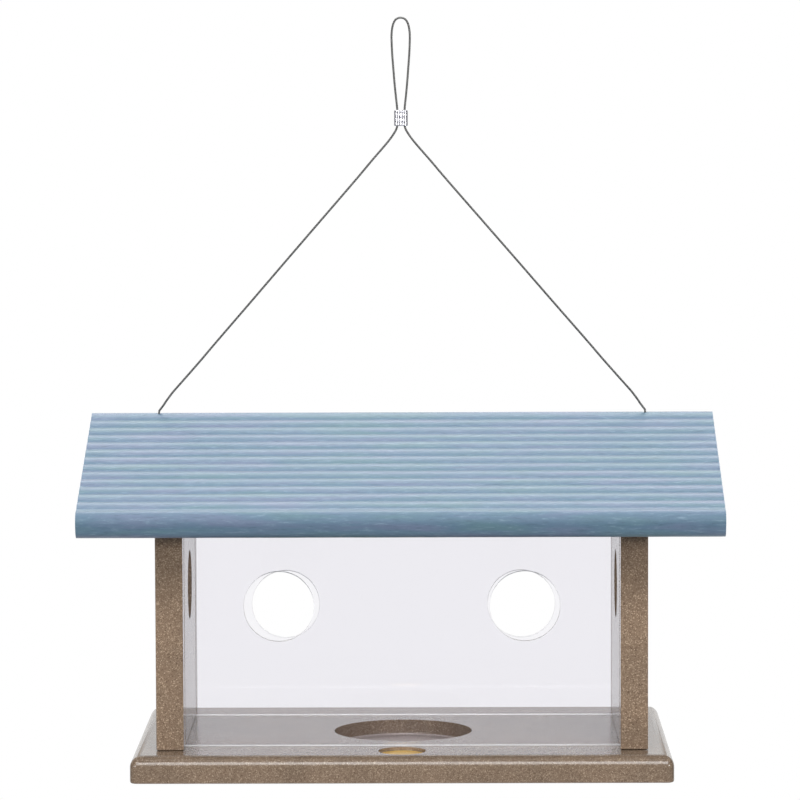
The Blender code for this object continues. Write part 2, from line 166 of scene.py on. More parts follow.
def newFinish(name, roughness, **sockets):
    finish = bpy.data.materials.new(name)
    finish.use_nodes = True
    shader = finish.node_tree.nodes["Principled BSDF"]
    shader.inputs["Roughness"].default_value = roughness
    for key, value in sockets.items():
        shader.inputs[key.replace("_", " ")].default_value = value
    return finish, finish.node_tree, shader


def colourRamp(tree, value, stops):
    ramp = put(tree, "ShaderNodeValToRGB", {0: value})
    while len(ramp.color_ramp.elements) < len(stops):
        ramp.color_ramp.elements.new(1.0)
    for element, (place, colour) in zip(ramp.color_ramp.elements, stops):
        element.position = place
        element.color = (*colour, 1)
    return ramp.outputs["Color"]


def mixColour(tree, share, first, second, blend="MIX"):
    mix = put(tree, "ShaderNodeMix", {0: share}, data_type="RGBA", blend_type=blend)
    for index, colour in ((6, first), (7, second)):
        if isinstance(colour, bpy.types.NodeSocket):
            tree.links.new(colour, mix.inputs[index])
        else:
            mix.inputs[index].default_value = (*colour, 1)
    return mix.outputs[2]


def stretched(tree, scale):  # the piece's own coordinates, drawn out along an axis
    place = put(tree, "ShaderNodeTexCoord").outputs["Object"]
    return put(tree, "ShaderNodeMapping", {"Vector": place, "Scale": scale}).outputs[0]


def grain(tree, vector, scale, detail=2.0, rough=0.5):
    sockets = {"Vector": vector, "Scale": scale, "Detail": detail, "Roughness": rough}
    return put(tree, "ShaderNodeTexNoise", sockets).outputs["Fac"]


def bump(tree, height, distance, strength=1.0, normal=None):
    sockets = {"Height": height, "Distance": distance, "Strength": strength}
    if normal is not None:
        sockets["Normal"] = normal
    return put(tree, "ShaderNodeBump", sockets).outputs[0]


taupe = {
    "body": (0.200, 0.140, 0.096),
    "pale": (0.42, 0.32, 0.23),
    "dark": (0.10, 0.065, 0.044),
    "fleckSize": 0.00045,
    "fleckShare": 0.26,
    "darkShare": 0.22,
    "cloudSize": 0.02,
    "roughness": 0.14,
    "emboss": 0.00002,
    "grainAlong": (1.0, 1.0, 1.0),
}
paleTaupe = {
    **taupe,
    "body": (0.176, 0.126, 0.089),
    "pale": (0.36, 0.28, 0.205),
    "fleckSize": 0.00038,
    "emboss": 0.00006,
}
# a paler copy of the lumber for the well's floor: painted sheen and light
wellFloorSheen = {
    **taupe,
    "body": (0.46, 0.39, 0.37),
    "pale": (0.62, 0.55, 0.52),
    "dark": (0.30, 0.24, 0.22),
    "roughness": 0.5,
}


def lumberFinish(name, look):  # plastic lumber: flecked, slightly clouded, finely embossed
    finish, tree, shader = newFinish(name, look["roughness"])
    place = stretched(tree, look["grainAlong"])
    cell = put(tree, "ShaderNodeTexVoronoi", {"Vector": place, "Scale": 1 / look["fleckSize"]})
    chance = put(tree, "ShaderNodeSeparateColor", {0: cell.outputs["Color"]}).outputs[0]
    paleEnd, darkEnd = 1 - look["fleckShare"], look["darkShare"]
    stops = [
        (0.0, look["dark"]),
        (darkEnd, look["body"]),
        (paleEnd, look["body"]),
        (1.0, look["pale"]),
    ]
    flecks = colourRamp(tree, chance, stops)
    cloud = grain(tree, place, 1 / look["cloudSize"], 3.0)
    tone = colourRamp(tree, cloud, [(0.3, (0.86, 0.86, 0.86)), (0.7, (1.12, 1.11, 1.10))])
    tree.links.new(mixColour(tree, 1.0, flecks, tone, "MULTIPLY"), shader.inputs["Base Color"])
    fine = grain(tree, place, 1500, 3.0, 0.6)
    coarse = grain(tree, place, 420, 2.0)
    normal = bump(tree, coarse, look["emboss"] * 1.5)
    tree.links.new(bump(tree, fine, look["emboss"], normal=normal), shader.inputs["Normal"])
    return finish


blue = {
    "body": (0.066, 0.122, 0.182),
    "violet": (0.088, 0.124, 0.196),
    "green": (0.066, 0.132, 0.168),
    "pale": (0.17, 0.25, 0.31),
    "deep": (0.036, 0.068, 0.104),
    "roughFacing": 0.62,
    "roughGlancing": 0.33,  # the grain hides itself at a glancing view
    "emboss": 0.00005,
}


def blueFinish(name, look):  # streaked along the ridge, with pale and dark threads
    finish, tree, shader = newFinish(name, look["roughFacing"])
    facing = put(tree, "ShaderNodeLayerWeight", {"Blend": 0.5}).outputs["Facing"]
    rough = smoothRange(tree, facing, 0.2, 0.75, look["roughFacing"], look["roughGlancing"])
    tree.links.new(rough, shader.inputs["Roughness"])
    broad = grain(tree, stretched(tree, (0.12, 1, 1)), 160, 3.0)
    colour = colourRamp(tree, broad, [(0.32, look["green"]), (0.5, look["body"]), (0.68, look["violet"])])
    thread = grain(tree, stretched(tree, (0.16, 1, 1)), 900, 4.0, 0.7)
    pale = smoothRange(tree, thread, 0.52, 0.74, 0.0, 0.55)
    deep = smoothRange(tree, thread, 0.47, 0.28, 0.0, 0.55)
    colour = mixColour(tree, pale, colour, look["pale"])
    colour = mixColour(tree, deep, colour, look["deep"])
    tree.links.new(colour, shader.inputs["Base Color"])
    normal = bump(tree, thread, look["emboss"] * 1.4)
    fine = grain(tree, stretched(tree, (0.5, 1, 1)), 1500, 2.0)
    tree.links.new(bump(tree, fine, look["emboss"], normal=normal), shader.inputs["Normal"])
    return finish


clear = {"tint": (0.990, 0.987, 0.999), "mirror": 0.04}
sawn = {"tint": (0.97, 0.97, 0.985), "roughness": 0.35, "ior": 1.2, "clearness": 0.75}


def clearFinish(name, look):  # lets light straight through and mirrors at a glancing view
    finish, tree, shader = newFinish(name, 0.0)
    tree.nodes.remove(shader)
    facing = put(tree, "ShaderNodeLayerWeight", {"Blend": 0.5}).outputs["Facing"]
    steep = put(tree, "ShaderNodeMath", {0: facing, 1: 5.0}, operation="POWER").outputs[0]
    sockets = {0: steep, 1: 1 - look["mirror"], 2: look["mirror"]}
    share = put(tree, "ShaderNodeMath", sockets, operation="MULTIPLY_ADD").outputs[0]
    through = put(tree, "ShaderNodeBsdfTransparent", {"Color": (*look["tint"], 1)}).outputs[0]
    mirror = put(tree, "ShaderNodeBsdfGlossy", {"Color": (1, 1, 1, 1), "Roughness": 0.0}).outputs[0]
    mix = put(tree, "ShaderNodeMixShader", {0: share, 1: through, 2: mirror})
    tree.links.new(mix.outputs[0], tree.nodes["Material Output"].inputs["Surface"])
    return finish


def sawnFinish(name, look):
    finish, tree, shader = newFinish(
        name, look["roughness"], Transmission_Weight=look["clearness"], IOR=look["ior"]
    )
    shader.inputs["Base Color"].default_value = (*look["tint"], 1)
    marks = grain(tree, stretched(tree, (1, 1, 1)), 1400, 2.0)
    tree.links.new(bump(tree, marks, 0.00006), shader.inputs["Normal"])
    return finish


def metalFinish(name, colour, roughness, scratch=0.00002, scale=2500, metallic=1.0):
    finish, tree, shader = newFinish(name, roughness, Metallic=metallic)
    wear = grain(tree, stretched(tree, (1, 1, 1)), scale, 3.0)
    darker = tuple(0.72 * c for c in colour)
    tree.links.new(colourRamp(tree, wear, [(0.35, darker), (0.62, colour)]), shader.inputs["Base Color"])
    tree.links.new(bump(tree, wear, scratch), shader.inputs["Normal"])
    return finish


baseLumber = lumberFinish("taupe plastic lumber", paleTaupe)
endLumber = lumberFinish("taupe plastic lumber uprights", taupe)
# the well floor's painted sheen and light
wellFloorSheenLumber = lumberFinish("plastic lumber with painted well sheen", wellFloorSheen)
blueLumber = blueFinish("pale blue plastic lumber", blue)
clearAcrylic = clearFinish("clear acrylic", clear)
sawnAcrylic = sawnFinish("sawn acrylic edge", sawn)
cableSteel = metalFinish("stranded stainless steel", (0.15, 0.15, 0.147), 0.5)
screwSteel = metalFinish("stainless screw", (0.55, 0.55, 0.54), 0.3)
sleeveMetal = metalFinish("crimped aluminium", (0.66, 0.66, 0.71), 0.3, 0.000003, 900)
badgeMetal = metalFinish("satin gold badge", (0.98, 0.66, 0.22), 0.34, 0.00002, 1500, metallic=0.6)
print("finishes done")


# Tools


def newPiece(name, bm, finishes, smoothTo=32.0):
    mesh = bpy.data.meshes.new(name)
    bm.to_mesh(mesh)
    bm.free()
    piece = bpy.data.objects.new(name, mesh)
    scene.collection.objects.link(piece)
    for finish in finishes:
        mesh.materials.append(finish)
    shade(piece, smoothTo)
    return piece


def shade(piece, smoothTo=32.0):
    piece.data.shade_smooth()
    piece.data.set_sharp_from_angle(angle=radians(smoothTo))


def keepFlat(piece):  # flat faces keep their own normal beside a small round
    step = piece.modifiers.new("flat faces", "WEIGHTED_NORMAL")
    step.keep_sharp = True
    step.weight = 80


def bevel(bm, geom, offset, segments, affect="EDGES"):
    bmesh.ops.bevel(
        bm, geom=geom, offset=offset, segments=segments, affect=affect, profile=0.5, material=-1
    )


def roundArc(centre, radius, start, end, steps):  # points of an arc, in degrees
    turns = [radians(start + (end - start) * i / steps) for i in range(steps + 1)]
    return [(centre[0] + radius * cos(a), centre[1] + radius * sin(a)) for a in turns]


def turned(profile, steps=64):  # a profile of (radius, height) spun round Z
    bm = bmesh.new()
    points = [bm.verts.new((r, 0, z)) for r, z in profile]
    edges = [bm.edges.new(pair) for pair in zip(points, points[1:])]
    bmesh.ops.spin(
        bm, geom=points + edges, cent=(0, 0, 0), axis=(0, 0, 1), angle=2 * pi, steps=steps, use_merge=True
    )
    bmesh.ops.remove_doubles(bm, verts=bm.verts, dist=1e-7)
    bmesh.ops.recalc_face_normals(bm, faces=bm.faces)
    return bm


def holeProfile(radius, thickness, rim, steps=5):  # a through hole whose two rims are rounded
    half, clear = thickness / 2, thickness
    top = roundArc((radius + rim, half - rim), rim, 90, 180, steps)
    upper = [(0, half + clear), (radius + rim, half + clear), *top]
    return [*upper, *((r, -z) for r, z in reversed(upper))]


def placed(bm, matrix):
    bmesh.ops.transform(bm, matrix=matrix, verts=bm.verts)
    return bm


def boxOf(low, high):
    bm = bmesh.new()
    bmesh.ops.create_cube(bm, size=1.0)
    bmesh.ops.scale(bm, vec=Vector(high) - Vector(low), verts=bm.verts)
    bmesh.ops.translate(bm, vec=(Vector(high) + Vector(low)) / 2, verts=bm.verts)
    return bm


def carve(piece, tools):  # cuts the tools out of the piece for good
    for tool in tools:
        mesh = bpy.data.meshes.new("tool")
        tool.to_mesh(mesh)
        tool.free()
        cutter = bpy.data.objects.new("tool", mesh)
        scene.collection.objects.link(cutter)
        step = piece.modifiers.new("cut", "BOOLEAN")
        step.object = cutter
        step.solver = "EXACT"
    done = bpy.data.meshes.new_from_object(piece.evaluated_get(bpy.context.evaluated_depsgraph_get()))
    done.name = piece.data.name
    for step in list(piece.modifiers):
        if step.type == "BOOLEAN":
            bpy.data.objects.remove(step.object, do_unlink=True)
            piece.modifiers.remove(step)
    piece.data = done
    shade(piece)


def finishPiece(piece, body, slot, *nodes):
    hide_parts(*nodes)
    if body is not None:
        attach(piece, body)
    return piece


# Base board

base = {
    "topRound": 0.0063,
    "underRound": 0.0012,
    "corner": 0.004,
    "rounding": 14,
    "wellWidth": 0.0762,
    "wellDepth": 0.0085,
    "wellFillet": 0.0016,
    "rim": 0.0003,
    "badgeRoom": 0.0003,
    "badgeDepth": 0.0033,
    "badgeRim": 0.00015,
    "toolTop": 0.01,  # how far a cutting tool stands above the board
    "toolLift": 0.00002,  # keeps a tool's round from lying exactly on the face
    "screwRoom": 0.0003,
}


def roundedSlab(low, high, look):  # outline rings climb the edge: under round, side, top round
    half, middle = (high - low) / 2, (high + low) / 2
    corner, topRound, underRound = look["corner"], look["topRound"], look["underRound"]
    bm = bmesh.new()
    bmesh.ops.create_grid(bm, x_segments=1, y_segments=1, size=1.0)
    bmesh.ops.scale(bm, vec=(half.x, half.y, 1), verts=bm.verts)
    bevel(bm, bm.verts[:] + bm.edges[:], corner, 6, "VERTICES")
    bmesh.ops.delete(bm, geom=bm.faces[:], context="FACES_ONLY")
    outward = bm.verts.layers.float_vector.new("outward")
    side = bm.verts.layers.float_vector.new("side")
    for vert in bm.verts:
        vert[side] = Vector((1 if vert.co.x > 0 else -1, 1 if vert.co.y > 0 else -1, 0))
        pivot = Vector((vert[side].x * (half.x - corner), vert[side].y * (half.y - corner), 0))
        vert[outward] = (vert.co - pivot).normalized()

    under = roundArc((underRound, low.z + underRound), underRound, -90, -180, 4)
    upper = roundArc((topRound, high.z - topRound), topRound, 180, 90, look["rounding"])
    ring = bm.edges[:]
    rings = [ring]
    for number, (inset, height) in enumerate([*under, *upper]):
        if number:
            grown = bmesh.ops.extrude_edge_only(bm, edges=ring)["geom"]
            ring = [e for e in grown if isinstance(e, bmesh.types.BMEdge) and not set(e.verts) & old]
            rings.append(ring)
        verts = {v for e in ring for v in e.verts}
        for vert in verts:
            radius, past = max(corner - inset, 0.0), max(inset - corner, 0.0)
            x = vert[side].x * (half.x - corner - past) + vert[outward].x * radius
            y = vert[side].y * (half.y - corner - past) + vert[outward].y * radius
            vert.co = (middle.x + x, middle.y + y, height)
        old = verts
    for ring in (rings[0], rings[-1]):
        bmesh.ops.edgeloop_fill(bm, edges=ring)
    bmesh.ops.remove_doubles(bm, verts=bm.verts, dist=1e-6)
    bmesh.ops.recalc_face_normals(bm, faces=bm.faces)
    return bm


def screwTool(screw, room):  # the head's countersink and the shank's hole, pointing down -Z
    head, shank = screw["headWidth"] / 2 + room, screw["shankWidth"] / 2 + room
    lift, length = 0.02, screw["length"] + room
    return turned(
        [
            (0, lift),
            (head, lift),
            (head, -screw["headEdge"] - room),
            (shank, -screw["headHeight"] - room),
            (shank, -length + screw["tip"]),
            (0, -length - room),
        ],
        24,
    )


def screwPlaces():  # each screw's head point and the way it points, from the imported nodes
    places = {}
    for number in range(1, 5):
        low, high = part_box(f"base_screw_{number}")
        places[f"base_screw_{number}"] = (Vector(((low.x + high.x) / 2, (low.y + high.y) / 2, low.z)), 0.0)
    slope = radians(roof["slope"])
    for number in range(1, 4):
        low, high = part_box(f"ridge_screw_{number}")
        head = ridgeScrew["headWidth"] / 2
        place = Vector(((low.x + high.x) / 2, high.y - head * sin(slope), high.z - head * cos(slope)))
        places[f"ridge_screw_{number}"] = (place, slope)
    return places


baseScrew = {
    "length": 0.036,
    "headWidth": 0.0076,
    "headHeight": 0.0026,
    "headEdge": 0.0003,
    "shankWidth": 0.0036,
    "coreWidth": 0.0025,
    "threadPitch": 0.0018,
    "plainNeck": 0.004,
    "tip": 0.004,
    "slotWidth": 0.0011,
    "slotSpan": 0.004,
    "slotDepth": 0.0016,
    "headRound": 0.00015,
    "threadStart": 0.0003,  # below the neck
    "threadWidth": 0.0007,
    "threadFoot": 0.0002,  # how deep the thread stands in the core
    "threadSteps": 20,
}
ridgeScrew = {**baseScrew, "length": 0.030}

roof = {
    "slope": 20.0,
    "thickness": 0.0148,
    "width": 0.1303,
    "edgeRound": 0.00635,
    "firstGroove": 0.0076,
    "ribPitch": 0.0093,
    "ribDepth": 0.0009,
    "ribSteps": 12,
    "ribs": 13,
    "mitreGap": 0.00015,
    "alongStep": 0.0022,
    "endRim": 0.0003,
    "waver": 0.00009,  # the ribs waver a little along the board
    "waverLength": 0.018,
    "waverWidth": 0.004,
    "ridgeKept": 0.0035,  # no waver this near to the ridge
    "cableHole": 0.0024,
}


def standUp(place, lean):  # a screw from below, or one that runs down the front slope from the back
    if lean == 0.0:
        return Matrix.Translation(place) @ Matrix.Rotation(pi, 4, "X")
    return Matrix.Translation(place) @ Matrix.Rotation(lean - pi / 2, 4, "X")


def buildBase(screws):
    low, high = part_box("base_board")
    piece = newPiece("baseBoard", roundedSlab(low, high, base), [baseLumber, wellFloorSheenLumber])
    radius, floor = base["wellWidth"] / 2, high.z - base["wellDepth"]
    rim, fillet = base["rim"], base["wellFillet"]
    above, lift = high.z + base["toolTop"], base["toolLift"]
    well = [
        (0, above),
        (radius + rim, above),
        *roundArc((radius + rim, high.z - rim + lift), rim, 90, 180, 5),
        *roundArc((radius - fillet, floor + fillet), fillet, 0, -90, 6),
        (0, floor),
    ]
    tools = [turned(well, 96)]
    badgeLow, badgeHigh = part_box("badge_disc")
    seat = (badgeHigh.x - badgeLow.x) / 2 + base["badgeRoom"]
    small = base["badgeRim"]
    recess = [
        (0, above),
        (seat + small, above),
        *roundArc((seat + small, high.z - small + lift), small, 90, 180, 3),
        (seat, high.z - base["badgeDepth"]),
        (0, high.z - base["badgeDepth"]),
    ]
    badgeY = (badgeLow.y + badgeHigh.y) / 2
    tools.append(placed(turned(recess, 72), Matrix.Translation((0, badgeY, 0))))
    for name, (place, lean) in screws.items():
        if name.startswith("base"):
            tools.append(placed(screwTool(baseScrew, base["screwRoom"]), standUp(place, lean)))
    carve(piece, tools)
    for face in piece.data.polygons:  # the well's upward floor gets a paler copy of the lumber: painted sheen and light
        inside = face.center.xy.length < radius and floor - 0.001 < face.center.z < floor + fillet
        face.material_index = 1 if inside and face.normal.z > 0.5 else 0
    keepFlat(piece)
    return finishPiece(piece, "house", "lumber", "base_board")


badge = {
    "rim": 0.0012,
    "rimRise": 0.0003,
    "ring": 0.0075,
    "ringWidth": 0.0005,
    "ringDepth": 0.00012,
    "bevel": 0.00025,
}


def buildBadge():  # a plain disc: raised rim, satin field, one fine ring
    low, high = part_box("badge_disc")
    radius, thick = (high.x - low.x) / 2, high.z - low.z
    field = thick - badge["rimRise"]
    edge, inner = badge["bevel"], radius - badge["rim"]
    ring, wide, deep = badge["ring"], badge["ringWidth"], badge["ringDepth"]
    profile = [
        (0, field),
        (ring - wide, field),
        (ring - wide / 2, field - deep),
        (ring + wide / 2, field - deep),
        (ring + wide, field),
        (inner - badge["rimRise"], field),
        (inner, thick),
        (radius - edge, thick),
        (radius, thick - edge),
        (radius, edge / 2),
        (radius - edge / 2, 0),
        (0, 0),
    ]
    place = Matrix.Translation((0, (low.y + high.y) / 2, low.z))
    piece = newPiece("badgeDisc", placed(turned(profile, 96), place), [badgeMetal], 20)
    return finishPiece(piece, "house", "badge", "badge_disc")


# End boards

endBoard = {
    "edge": 0.0004,
    "wayIn": 0.0381,
    "wayInRim": 0.0005,
    "grooveDepth": 0.005,
    "grooveRoom": 0.0003,
    "cableHole": 0.0034,
    "cableHoleRim": 0.0004,
}


def buildEndBoard(name, node, opening, side, screws):
    low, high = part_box(node)
    shoulder = high.z - high.y * tan(radians(roof["slope"]))
    bm = bmesh.new()
    outline = [(low.y, low.z), (high.y, low.z), (high.y, shoulder), (0, high.z), (low.y, shoulder)]
    face = bm.faces.new([bm.verts.new((low.x, y, z)) for y, z in outline])
    grown = bmesh.ops.extrude_face_region(bm, geom=[face])["geom"]
    moved = [v for v in grown if isinstance(v, bmesh.types.BMVert)]
    bmesh.ops.translate(bm, vec=(high.x - low.x, 0, 0), verts=moved)
    bmesh.ops.recalc_face_normals(bm, faces=bm.faces)
    bevel(bm, bm.edges[:], endBoard["edge"], 3)
    piece = newPiece(name, bm, [endLumber])

    thick = high.x - low.x
    turn = Matrix.Rotation(pi / 2, 4, "Y")
    middle = (openings[opening][0] + openings[opening][1]) / 2
    middle.x = (low.x + high.x) / 2
    wayIn = turned(holeProfile(endBoard["wayIn"] / 2, thick, endBoard["wayInRim"]), 96)
    tools = [placed(wayIn, Matrix.Translation(middle) @ turn)]
    inner = low.x if side > 0 else high.x
    for pane in ("front_pane", "back_pane"):
        paneLow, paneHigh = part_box(pane)
        deep, room = endBoard["grooveDepth"], endBoard["grooveRoom"]
        start = (inner - deep, paneLow.y - room, low.z - 0.01)
        end = (inner + deep, paneHigh.y + room, high.z + 0.01)
        tools.append(boxOf(start, end))
    stopLow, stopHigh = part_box("cable_stop_right")
    cableHole = turned(holeProfile(endBoard["cableHole"] / 2, thick, endBoard["cableHoleRim"], 3), 32)
    cablePlace = Vector((middle.x, 0, (stopLow.z + stopHigh.z) / 2))
    tools.append(placed(cableHole, Matrix.Translation(cablePlace) @ turn))
    for screwName, (place, lean) in screws.items():
        if screwName.startswith("base") and place.x * side > 0:
            tools.append(placed(screwTool(baseScrew, base["screwRoom"]), standUp(place, lean)))
    carve(piece, tools)
    keepFlat(piece)
    return finishPiece(piece, "house", "lumber", node)


# Panes

pane = {"edge": 0.00022, "wayIn": 0.0381, "rim": 0.00022}


def buildPane(name, node, *wayNames):
    low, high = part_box(node)
    bm = boxOf(low, high)
    bevel(bm, bm.edges[:], pane["edge"], 2)
    piece = newPiece(name, bm, [clearAcrylic, sawnAcrylic])
    turn = Matrix.Rotation(pi / 2, 4, "X")
    tools = []
    for wayName in wayNames:
        middle = (openings[wayName][0] + openings[wayName][1]) / 2
        middle.y = (low.y + high.y) / 2
        hole = turned(holeProfile(pane["wayIn"] / 2, high.y - low.y, pane["rim"], 2), 128)
        tools.append(placed(hole, Matrix.Translation(middle) @ turn))
    carve(piece, tools)
    for face in piece.data.polygons:  # only the two broad faces are left as cast
        face.material_index = 0 if abs(face.normal.y) > 0.99 else 1
    keepFlat(piece)
    return finishPiece(piece, "house", "clear_pane", node)


# Roof


def ribDrop(distance):  # how far the ribbed face lies below the board's own face
    first, pitch, deep = roof["firstGroove"], roof["ribPitch"], roof["ribDepth"]
    if distance < first:
        return deep * (distance / first) ** 4
    across = (distance - first) / pitch % 1.0
    return deep * (2 * across - 1) ** 2


def roofSection():  # the front board's section as (along the slope, depth), from the ridge
    first, pitch, steps = roof["firstGroove"], roof["ribPitch"], roof["ribSteps"]
    thick, rounding, mitre = roof["thickness"], roof["edgeRound"], roof["mitreGap"]
    top = [(mitre, 0.0)] + [(first * i / 6, ribDrop(first * i / 6)) for i in range(1, 6)]
    for rib in range(roof["ribs"] - 1):
        for step in range(steps):
            distance = first + (rib + step / steps) * pitch
            top.append((distance, ribDrop(distance) if step else roof["ribDepth"]))
    last, start = first + (roof["ribs"] - 1) * pitch, roof["width"] - rounding
    for i in range(6):  # the plain band climbs evenly out of the last groove
        top.append((last + (start - last) * i / 6, roof["ribDepth"] * (1 - i / 6)))
    upper = roundArc((start, rounding), rounding, -90, 0, 12)
    lower = roundArc((start, thick - rounding), rounding, 0, 90, 12)
    under = [(thick * tan(radians(roof["slope"])) + mitre, thick)]
    return [*top, *upper, *lower, *under]


def buildRoofBoard(name, node, sign, screws):
    low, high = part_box(node)
    lean = radians(roof["slope"])
    bm = bmesh.new()
    verts = []
    for along, deep in roofSection():
        y = -along * cos(lean) + deep * sin(lean)
        z = high.z - along * sin(lean) - deep * cos(lean)
        verts.append(bm.verts.new((low.x, sign * y, z)))
    bmesh.ops.remove_doubles(bm, verts=bm.verts, dist=2e-6)
    face = bm.faces.new([v for v in verts if v.is_valid])
    grown = bmesh.ops.extrude_face_region(bm, geom=[face])["geom"]
    moved = [v for v in grown if isinstance(v, bmesh.types.BMVert)]
    bmesh.ops.translate(bm, vec=(high.x - low.x, 0, 0), verts=moved)
    bmesh.ops.recalc_face_normals(bm, faces=bm.faces)

    for end in [f for f in bm.faces if abs(f.normal.x) > 0.9]:  # a narrow flat rim on each sawn end
        bmesh.ops.inset_region(bm, faces=[end], thickness=roof["endRim"], depth=0.0, use_even_offset=False)
    long = [e for e in bm.edges if abs(e.verts[0].co.x - e.verts[1].co.x) > 0.1]
    cuts = ceil((high.x - low.x) / roof["alongStep"])
    bmesh.ops.subdivide_edges(bm, edges=long, cuts=cuts, use_grid_fill=False)
    inward = Vector((0, -sign * sin(lean), -cos(lean)))
    for vert in bm.verts:  # the ribs and the eave waver a little
        if abs(vert.co.x) < high.x - 1e-4 and abs(vert.co.y) > roof["ridgeKept"]:
            wide = roof["waverWidth"]
            where = Vector((vert.co.x / roof["waverLength"], vert.co.y / wide, vert.co.z / wide))
            vert.co += inward * roof["waver"] * (0.5 + 0.5 * noise.noise(where))
    piece = newPiece(name, bm, [blueLumber], 28)
    tools = []
    hole = roof["cableHole"] / 2
    for side in (-1, 1):
        cableLow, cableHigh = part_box(f"cable_anchor_{'left' if side < 0 else 'right'}")
        x = (cableHigh.x if side > 0 else cableLow.x) - side * cable["width"] / 2
        tool = turned([(0, 0.02), (hole, 0.02), (hole, -0.04), (0, -0.04)], 32)
        tools.append(placed(tool, Matrix.Translation((x, 0, high.z))))
    for screwName, (place, tilt) in screws.items():
        if screwName.startswith("ridge"):
            tools.append(placed(screwTool(ridgeScrew, base["screwRoom"]), standUp(place, tilt)))
    carve(piece, tools)
    return finishPiece(piece, "roof", "blue_lumber", node)


# Screws


def buildScrew(name, node, place, lean, look, body):
    head, shank, core = look["headWidth"] / 2, look["shankWidth"] / 2, look["coreWidth"] / 2
    length, tip, edge = look["length"], look["tip"], look["headEdge"]
    neck = -look["headHeight"] - look["plainNeck"]
    rounding = look["headRound"]
    profile = [
        (0, 0),
        (head - rounding, 0),
        (head, -rounding),
        (head, -edge),
        (shank, -look["headHeight"]),
        (shank, neck),
        (core, neck - 0.0004),
        (core, tip - length),
        (0.0003, -length + 0.0004),
        (0, -length),
    ]
    matrix = standUp(place, lean)
    piece = newPiece(name, placed(turned(profile, 40), matrix), [screwSteel], 30)
    tools = []
    span, wide, deep = look["slotSpan"] / 2, look["slotWidth"] / 2, look["slotDepth"]
    for turn in (0, pi / 2):  # a cross recess, narrower at its bottom
        tool = boxOf((-span, -wide, -deep), (span, wide, deep))
        low = [v for v in tool.verts if v.co.z < 0]
        bmesh.ops.scale(tool, vec=(0.45, 0.7, 1), verts=low)
        tools.append(placed(tool, matrix @ Matrix.Rotation(turn, 4, "Z")))
    carve(piece, tools)

    pitch, steps = look["threadPitch"], look["threadSteps"]
    turns = int((length + neck - pitch) / pitch)
    bm = bmesh.new()
    bm.from_mesh(piece.data)
    first, wide, foot = neck - look["threadStart"], look["threadWidth"], core - look["threadFoot"]
    crest = ((foot, first), (shank, first - wide / 2), (foot, first - wide))
    corners = [bm.verts.new((r, 0, z)) for r, z in crest]
    edges = [bm.edges.new((corners[i - 1], corners[i])) for i in range(3)]
    older = set(bm.verts) - set(corners)
    bmesh.ops.spin(
        bm,
        geom=corners + edges,
        cent=(0, 0, 0),
        axis=(0, 0, 1),
        dvec=(0, 0, -pitch / steps),
        angle=2 * pi * turns,
        steps=steps * turns,
    )
    thread = [v for v in bm.verts if v not in older]
    for vert in thread:  # the thread runs out at both ends, and narrows with the point
        z = vert.co.z
        into = min(1.0, max(0.0, (first - z) / pitch + 0.25))
        past = min(1.0, max(0.0, (tip - length - z) / tip))
        radius = vert.co.xy.length
        target = (core + (radius - core) * into) * (1 - 0.8 * past)
        vert.co.x *= target / radius
        vert.co.y *= target / radius
    openEdges = [e for e in bm.edges if e.is_boundary]
    bmesh.ops.holes_fill(bm, edges=openEdges, sides=4)
    bmesh.ops.transform(bm, matrix=matrix, verts=[v for v in bm.verts if v not in older])
    bmesh.ops.recalc_face_normals(bm, faces=bm.faces)
    bm.to_mesh(piece.data)
    bm.free()
    shade(piece, 30)
    return finishPiece(piece, body, "screws", node)


# Cable

cable = {
    "width": 0.0012,
    "strands": 6,
    "lay": 0.0075,  # length of one full turn of the strands
    "step": 0.0006,
    "hinge": 0.1932,
    "legKeep": 0.3841,
    "stretchFrom": 0.165,
    "stretchTo": 0.190,
    "bend": 0.0035,  # where the lower run turns up outside the gable
    "gripRun": 0.006,  # straight run out of the stop
}

# Above the roof, right side, as (x, z): out of the ridge hole, inwards, into the ferrule
legRoute = (
    (0.1343, 0.19275),
    (0.1341, 0.1934),
    (0.1335, 0.1942),
    (0.1325, 0.1955),
    (0.1314, 0.1970),
    (0.1303, 0.1987),
    (0.1283, 0.2014),
    (0.1261, 0.2042),
    (0.1212, 0.2097),
    (0.1114, 0.2208),
    (0.1019, 0.2319),
    (0.0827, 0.2540),
    (0.0636, 0.2761),
    (0.0445, 0.2981),
    (0.0254, 0.3201),
    (0.0161, 0.3311),
    (0.0094, 0.3388),
    (0.0058, 0.3432),
    (0.0038, 0.3461),
    (0.0026, 0.3482),
    (0.0020, 0.35005),
)

# The loop's right half, through the ferrule and up to its top
loopRoute = (
    (0.0019, 0.35015),
    (0.0019, 0.3521),
    (0.0019, 0.35455),
    (0.0019, 0.3569),
    (0.0020, 0.3591),
    (0.0024, 0.3631),
    (0.0029, 0.3677),
    (0.0035, 0.3740),
    (0.0041, 0.3817),
    (0.0047, 0.3898),
    (0.0050, 0.3969),
    (0.00498, 0.4005),
    (0.0046, 0.4038),
    (0.0038, 0.4066),
    (0.0024, 0.4086),
    (0.0, 0.4094),
)


def smoothRoute(route, spacing):  # a smooth curve through every point of the route
    route = [Vector(p) for p in route]
    ends = [2 * route[0] - route[1], *route, 2 * route[-1] - route[-2]]
    points = []
    for before, a, b, after in zip(ends, ends[1:], ends[2:], ends[3:]):
        steps = max(1, round((b - a).length / spacing))
        for i in range(steps):
            t = i / steps
            lead, trail = (b - before) * 0.5, (after - a) * 0.5
            curve, twist = 3 * (b - a) - 2 * lead - trail, 2 * (a - b) + lead + trail
            points.append(a + t * lead + t * t * curve + t**3 * twist)
    return [*points, route[-1]]


